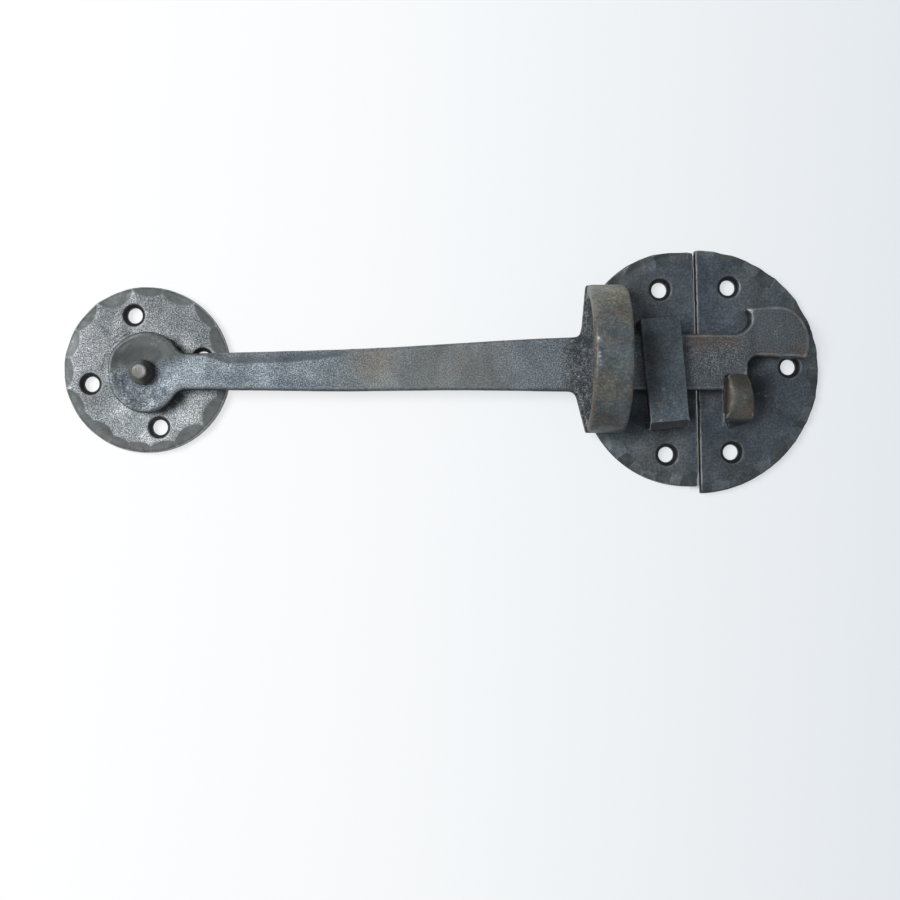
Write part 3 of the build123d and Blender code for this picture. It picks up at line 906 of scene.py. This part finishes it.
def keeper_plate(dark, bronze):
    """The right half of the split plate with its hook, which is rounder and of another colour."""
    holes = turned(172.2, 0.3, reach=27, start=-70.2, spread=71.7, count=3)
    skin, marks, walls, facets_and_painted_light = split_plate("keeper_plate", 31, holes, middle=(170.8, -0.1), rim_r=37.8)
    hook = soft_step(skin.points[:, 2], 5 * mm, 8 * mm)
    skin.ease(70, hook)
    skin.face_out()
    skin.sink(-0.22 * mm * hook)

    points = skin.points
    y = points[:, 1] / mm
    raised = points[:, 2] > 3.6 * mm
    on_plate = points[:, 2] < 3.5 * mm
    on_hook = 1 - on_plate
    hook_side = soft_step(-skin.facing[:, 0], 0.3, 0.7) * raised
    hook_rust = raised * spots(points, [(185, -12.5, 2.6, 0.8), (183, -3.5, 2.4, 0.6)])
    plate_rust = spots(points, [(173, -8, 4, 0.35), (200, 10, 4, 0.2)])
    lower_right = soft_step((points[:, 0] - points[:, 1]) / mm, 170, 205) * on_plate
    # Painted shadow of the head and hook on the plate.
    painted_shadow = on_plate * spots(points, [(189.2, -4, 4.2, 1), (188.2, 3, 3, 1), (189.8, -9, 3.4, 0.7)])
    # A painted highlight along the window's cut edge.
    window_left = patch(points, (178.25, 179.1), (-17, -5.6), 0.2)
    cut_edge_highlight = on_plate * window_left * soft_step(points[:, 2], 2.6 * mm, 3 * mm)
    skin.note("stain", strongest(0.85 * hook_side, plate_rust, hook_rust))
    skin.note("olive", strongest(0.5 * marks, spots(points, [(190, 27, 8, 0.5), (182, -30, 6, 0.4)])))
    skin.note("smooth", np.maximum(0.6 * marks, 0.8 * walls))
    blotch = weighted(
        (0.45, rough_noise(points, 8 * mm, 33)),
        (0.3, rough_noise(points, 2.5 * mm, 34)),
        (0.4, spots(points, [(175, -14, 5, 1)])),
    )
    skin.note("tone", weighted(
        (1, plate_tone(skin, marks, walls, facets_and_painted_light, 35)),
        # Painted shade on the plate's upright side faces, but not on the cut edge.
        (-1.5, side_walls(skin) * on_plate * (1 - cut_edge_highlight)),
        (1, blotch * (1 - 0.4 * on_hook)),
        (-0.35, lower_right),
        (-2.2, painted_shadow),
        (0.8, cut_edge_highlight),
        (-0.6, hook_side),
        (-0.55, on_hook),
        # Painted highlight on the hook's crown.
        (0.8, on_hook * spots(points, [(183.2, -8.3, 0.8, 1), (183, -9.8, 0.6, 0.8)])),
        (-0.7, on_hook * soft_step(y, -7, -2.5)),
        (0.3, on_hook * patch(points, (181, 190), (-15, -10), 1)),
    ))
    skin.finish("keeper_plate_forged", "plates", dark, bronze)
    middles = np.empty(len(skin.mesh.polygons) * 3)
    skin.mesh.polygons.foreach_get("center", middles)
    middles = middles.reshape(-1, 3) / mm
    hook_faces = (middles[:, 2] > 3.5) & (middles[:, 1] > -15.6)
    skin.mesh.polygons.foreach_set("material_index", hook_faces.astype(np.int32))


def split_plates():
    """Both halves of the split round plate, with the materials of the iron and of the hook."""
    dark = forged_finish(
        "dark_scale_plate",
        scale=(0.038, 0.049, 0.062),
        cloud=(0.056, 0.069, 0.083),
        brown=(0.09, 0.057, 0.042),
        bare=(0.19, 0.2, 0.2),
        green=(0.066, 0.069, 0.057),
        grains=1500.0,
        bump=0.00007,
        rub_starts=0.02,
        speckle=0.48,
        stroke=0.6,
        rims=0.5,
    )
    bronze = forged_finish(
        "bronze_brown_hook",
        scale=(0.056, 0.06, 0.055),
        cloud=(0.078, 0.082, 0.074),
        brown=(0.085, 0.045, 0.027),
        bare=(0.25, 0.235, 0.2),
        green=(0.06, 0.068, 0.055),
        pit_share=0.2,
        bump=0.00003,
        speckle=0.4,
        roughness=(0.38, 0.55),
    )
    guide_plate(dark)
    keeper_plate(dark, bronze)


def pivot_rivet():
    """The rivet, with painted shade, dark and brown, on the side away from the lamp, and worn grey on its
    small flat.
    """
    skin = Skin("pivot_rivet", cell=0.13 * mm, rounds=3)
    points = skin.points
    top = soft_step(points[:, 2], 11.6 * mm, 12.0 * mm)
    # Painted shade, dark and brown, on the side away from the lamp.
    side = soft_step(skin.facing[:, 0], -0.1, 0.5) * (1 - top)
    skin.note("stain", np.maximum(side, 0.25 + 0.25 * rough_noise(points, 2 * mm, 41)))
    skin.note("tone", weighted(
        (0.3, top), (-1.5, side), (-0.25, 1 - top), (0.4, rough_noise(points, 0.8 * mm, 42))
    ))
    finish = forged_finish(
        "peened_rivet_head",
        scale=(0.105, 0.114, 0.112),
        cloud=(0.136, 0.145, 0.143),
        brown=(0.075, 0.054, 0.044),
        bare=(0.3, 0.3, 0.29),
        pit_share=0.2,
        bump=0.00004,
        rub_starts=0.05,
    )
    skin.finish("pivot_rivet_peened", "plates", finish)


def beaten_arm():
    """The arm's skin, shaped: dished eye, torn lower left edge, ring strokes, hammer dents, chipped edges.

    Hands back, for the colours, the distance from the rivet in mm and the masks of the upward faces, of the
    torn edge and of the ring strokes.
    """
    skin = Skin("latch_arm", cell=0.33 * mm, rounds=2)
    points = skin.points
    upper = soft_step(points[:, 2], arm_top - 1.2 * mm, arm_top - 0.2 * mm)
    out = away_from(points, *rivet_axis) / mm
    turn = np.degrees(np.arctan2(points[:, 1] - rivet_axis[1] * mm, points[:, 0]))
    eye = 1 - soft_step(out, 12.5, 16)
    dish = 0.4 * mm * np.clip(1 - (out / 11) ** 2, 0, 1) * upper
    low_left = soft_step(-(points[:, 0] * 0.75 + points[:, 1]) / mm, 2, 9) * (1 - soft_step(out, 11.5, 13.5))
    torn = np.clip(rough_noise(points * np.array([1, 1, 0.3]), 1.3 * mm, 52), 0, 1) * low_left * upper
    rings = rough_noise(np.stack([out, 0.035 * turn, 0 * out], axis=1), 0.9, 57)
    ringed = np.maximum(low_left, 0.5 * soft_step(-points[:, 0] / mm, 0, 6) * eye)
    dents, reach, depth = scattered(53, 46, (14, 134), (-5, 9), z=7.9, reach=(2.5, 5.0), depth=(0.04, 0.11))
    hammered = struck(points, dents, reach, depth) * upper
    even = 0.06 * mm * (0.5 + 0.5 * rough_noise(points, 3 * mm, 51))
    ring_strokes = 0.16 * mm * np.clip(rings, -0.3, 1) * ringed * upper
    skin.sink(dish + 0.4 * mm * torn + ring_strokes + hammered + even)
    skin.chip(size=1.6 * mm, depth=0.3 * mm, seed=54)
    return skin, out, upper, low_left, rings * ringed


def latch_arm():
    """The arm: smooth dished eye with a rough lower edge, grainy bar with a dark flat, pitted tongue."""
    skin, out, upper, low_left, ring_strokes = beaten_arm()
    points = skin.points
    x, y = points[:, 0] / mm, points[:, 1] / mm
    dressed = soft_step(skin.facing[:, 1], 0.1, 0.2) * patch(points, (15, 62), (1, 12), 3) * upper
    low_edge = soft_step(-skin.facing[:, 1], 0.25, 0.6)
    head = patch(points, (186, 210), (2, 30), 2)
    tongue = patch(points, (166, 187), (-9, 14), 1.5)
    at_tee = patch(points, (130, 138), (-22, 30), 4)
    slant = y - 0.28 * np.maximum(x, 0) + 1.5 * rough_noise(points, 2.5 * mm, 59)
    upper_eye = soft_step(slant, -0.8, 2.6) * (1 - soft_step(x, 13, 21))

    seam_rust = spots(points, [(176, 9.8, 3.2, 1), (170.5, 10, 4, 1), (180, 8.8, 3, 0.7)])
    bar_rust = spots(points, [(201, 5.6, 2.6, 0.9), (191, 4.6, 3, 0.6), (71, 3, 6, 0.5), (103, 2, 18, 0.15)])
    rusty = soft_step(rough_noise(points, 4 * mm, 60), -0.2, 0.4)
    head_rust = head * soft_step(skin.bend, 0.008, 0.035) * rusty
    skin.note("stain", strongest(seam_rust, bar_rust, head_rust, 0.5 * low_edge * head))
    bar_olive = spots(points, [(72, 1, 12, 0.9), (86, 1, 14, 0.9), (100, 0, 12, 0.8)])
    skin.note("olive", strongest(upper_eye * 0.85, bar_olive))
    tongue_pits = spots(points, [(174, 2.5, 4.5, 1), (180.5, 5, 5, 1), (177, -2, 5, 0.5), (169, -1, 3, 0.5)])
    pitted = strongest(tongue_pits, at_tee, 0.7 * low_left)
    skin.note("pitted", pitted)
    plain = 0.55 * soft_step(x, 50, 72) * (1 - 0.6 * soft_step(x, 104, 122))
    even_tongue = 0.5 * tongue * (1 - pitted)
    skin.note("smooth", strongest(
        upper_eye * 1.05, dressed * 0.8, 0.5 * head, 0.6 * low_edge, plain, even_tongue
    ))
    skin.bend = skin.bend * (1 - patch(points, (118, 150), (-30, 35), 3))

    glints = np.clip(rough_noise(points, 0.9 * mm, 62) - 0.1, 0, 1)
    sparkle = strongest(0.5 * at_tee, 0.8 * low_left, 0.8 * spots(points, [(10, -3, 5, 1)]))
    # Painted shadows of the loop and of the staple on the tongue.
    loop_shadow_on_tongue = patch(points, (149, 154.6), (-9, 14), 1)
    staple_shadow_on_tongue = patch(points, (163.6, 166.8), (-9, 14), 0.9)
    torn_tone = 0.4 + 0.6 * np.clip(rough_noise(points, 1.5 * mm, 55) + 0.4, 0, 1)
    eye_edge = soft_step(out, 11.4, 12.4) * (1 - soft_step(out, 13, 14)) * soft_step(8 - x, 0, 4)
    skin.note("tone", weighted(
        (-0.65, dressed),
        # Painted shade: upright side faces are darkened, twice as much near the eye and neck.
        (-1.5, (1 + (x < 45)) * side_walls(skin, 0.4, 0.78)),
        # Painted shade on faces turned down, away from the lamp.
        (-0.5, low_edge),
        (-1.1, upper_eye),
        (-0.6, low_left * torn_tone),
        (1.1, ring_strokes),
        (-0.8, eye_edge),
        (-1.75, at_tee),
        (4.0, at_tee * glints),
        (-0.9, tongue),
        (-1.1, loop_shadow_on_tongue + 0.7 * staple_shadow_on_tongue),
        # Painted shade: tee faces turned to the lamp are made darker.
        (-1.0, soft_step(-skin.facing[:, 0], 0.15, 0.5) * soft_step(x, 112, 120)),
        (0.9, sparkle * rough_noise(points, 0.7 * mm, 61)),
        (-0.85, head),
        (1, np.interp(x, [22, 50, 75, 100, 125], [-0.2, -0.08, 0.12, -0.15, -0.3])),
        (0.35, rough_noise(points, 0.8 * mm, 58) * (1 - upper_eye) * (1 - soft_step(x, 50, 90))),
        (0.25, rough_noise(points, 9 * mm, 56)),
        (0.55, spots(points, [(9, -2.5, 4, 1), (14, -1, 5, 1)])),
    ))
    finish = forged_finish(
        "pitted_arm_scale",
        scale=(0.1, 0.121, 0.142),
        cloud=(0.134, 0.156, 0.175),
        brown=(0.155, 0.104, 0.074),
        bare=(0.32, 0.34, 0.34),
        green=(0.112, 0.12, 0.107),
        pit_share=0.75,
        pit_depth=1.1,
        grains=2300.0,
        bump=0.00012,
        rub_starts=0.025,
        speckle=1.15,
        rims=0.5,
    )
    skin.finish("latch_arm_forged", "arm", finish)


def pull_loop():
    """The loop: smooth brown patina with bluish patches, pale spots on its top, and painted highlights in
    small places on its left edge.
    """
    arc_r, arc_y, arc_z = 22.7 * mm, 3.5 * mm, 6.5 * mm
    skin = Skin("pull_loop", cell=0.22 * mm, rounds=5)
    points = skin.points
    dents, reach, depth = scattered(63, 16, (136, 147), (-18, 25), z=27, reach=(3, 6), depth=(0.05, 0.12))
    dents[:, 2] = arc_z + np.sqrt(np.clip(arc_r**2 - (dents[:, 1] - arc_y) ** 2, 0, None))
    skin.sink(struck(points, dents, reach, depth) + 0.07 * mm * (0.5 + 0.5 * rough_noise(points, 4 * mm, 61)))

    y = points[:, 1] / mm
    left_foot = soft_step(-skin.facing[:, 0], 0.35, 0.75) * soft_step(-y, -17, -12)
    patches = rough_noise(points * np.array([1, 1.6, 1]), 6 * mm, 62)
    skin.note("stain", np.clip(np.maximum(1.1 * left_foot, 0.2 + 1.5 * patches), 0, 1))
    olive = 0.35 + 1.8 * rough_noise(points, 7 * mm, 63) + soft_step(y, 10, 24)
    skin.note("olive", np.clip(olive, 0, 1))
    skin.note("smooth", 0.2)
    # Pale spots on the loop's top, and painted highlights along its left edge.
    pale_spots_and_highlights = spots(points, [
        (140.6, 20.2, 0.3, 0.45), (141.9, 20.4, 0.3, 0.5), (140.8, 18.6, 0.25, 0.4), (142.1, 18.9, 0.3, 0.5),
        (137, 8, 0.45, 1), (137.2, 3.7, 0.4, 1), (137.3, 2.6, 0.4, 1), (137.4, 1.4, 0.4, 0.9),
        (137.5, 0.2, 0.35, 0.8),
    ])
    worn_edge = soft_step(skin.bend, 0.03, 0.09) * soft_step(rough_noise(points, 2.2 * mm, 66), -0.1, 0.5)
    skin.note("tone", weighted(
        (2.2, pale_spots_and_highlights),
        (-0.3, soft_step(-y, 6, 18)),
        (0.62, soft_step(y, 8, 22)),
        (0.5, worn_edge),
        (0.6, rough_noise(points, 5 * mm, 64)),
        (0.5, rough_noise(points, 1.6 * mm, 65)),
    ))
    finish = forged_finish(
        "brown_loop_patina",
        scale=(0.055, 0.068, 0.075),
        cloud=(0.074, 0.088, 0.094),
        brown=(0.104, 0.076, 0.052),
        bare=(0.32, 0.29, 0.24),
        green=(0.098, 0.1, 0.08),
        pit_share=0.2,
        grains=1300.0,
        speckle=0.6,
        rub=0.5,
    )
    skin.finish("pull_loop_forged", "arm", finish)


def guide_staple():
    """The staple: dark blue-grey strap, brown down its left side, with painted shade and brown on its lower
    end, which faces away from the lamp.
    """
    middle_x, middle_y, lean = 159.2, -0.95, 0.093
    skin = Skin("guide_staple", cell=0.2 * mm, rounds=3)
    points = skin.points
    dents, reach, depth = scattered(73, 12, (153, 166), (-17, 16), z=12.5, reach=(3, 5), depth=(0.05, 0.14))
    skin.sink(struck(points, dents, reach, depth) + 0.06 * mm * (0.5 + 0.5 * rough_noise(points, 3 * mm, 71)))

    x, y = points[:, 0] / mm, points[:, 1] / mm
    across = (x - middle_x) + (y - middle_y) * lean
    left = soft_step(-skin.facing[:, 0], 0.3, 0.7)
    low_end = soft_step(-skin.facing[:, 1], 0.35, 0.6)
    shade = (1 - soft_step(across, -5, 1)) * soft_step(14 - np.abs(y), 0, 8)
    rust = spots(points, [(156, 6, 4, 1), (155, -8, 3, 0.6)])
    specks = spots(points, [
        (158.6, -6.1, 0.7, 1), (157.8, -15.4, 0.5, 1), (160.6, -8.5, 0.35, 0.7), (161.8, -10, 0.35, 0.6),
    ])
    worn_edge = soft_step(skin.bend, 0.02, 0.07) * soft_step(rough_noise(points, 2 * mm, 75), -0.2, 0.4)
    skin.note("stain", strongest(0.8 * left, 0.6 * low_end, 0.5 * rust))
    skin.note("olive", 0.25)
    skin.note("smooth", np.maximum(0.35, 0.7 * low_end))
    skin.note("tone", weighted(
        (1.4, specks),
        (-0.85, shade),
        (0.4, 1 - soft_step(y, -12, -4)),
        # Painted shade on the lower end, which faces away from the lamp.
        (-1.5, low_end),
        (-1.4, left),
        # Painted shade on the upright side faces.
        (-0.6, side_walls(skin)),
        (0.3, rough_noise(points, 5 * mm, 72)),
        (0.25, rough_noise(points, 1.8 * mm, 74)),
        (0.9, worn_edge * (across > -5)),
        (-0.3, soft_step(y, 4, 10)),
    ))
    finish = forged_finish(
        "blue_staple_scale",
        scale=(0.036, 0.051, 0.067),
        cloud=(0.048, 0.064, 0.081),
        brown=(0.055, 0.038, 0.036),
        bare=(0.19, 0.2, 0.21),
        pit_share=0.3,
        grains=1500.0,
        rub_starts=0.02,
        rub=0.75,
        speckle=0.7,
    )
    skin.finish("guide_staple_forged", "plates", finish)


photo_camera()
pale_table()
studio_air()
soft_lamp("left_window", (-0.95, 0.3, 1.35), (0.08, 0, 0), 0.85, 34, (1, 0.985, 0.965))
pivot_plate()
split_plates()
pivot_rivet()
latch_arm()
pull_loop()
guide_staple()
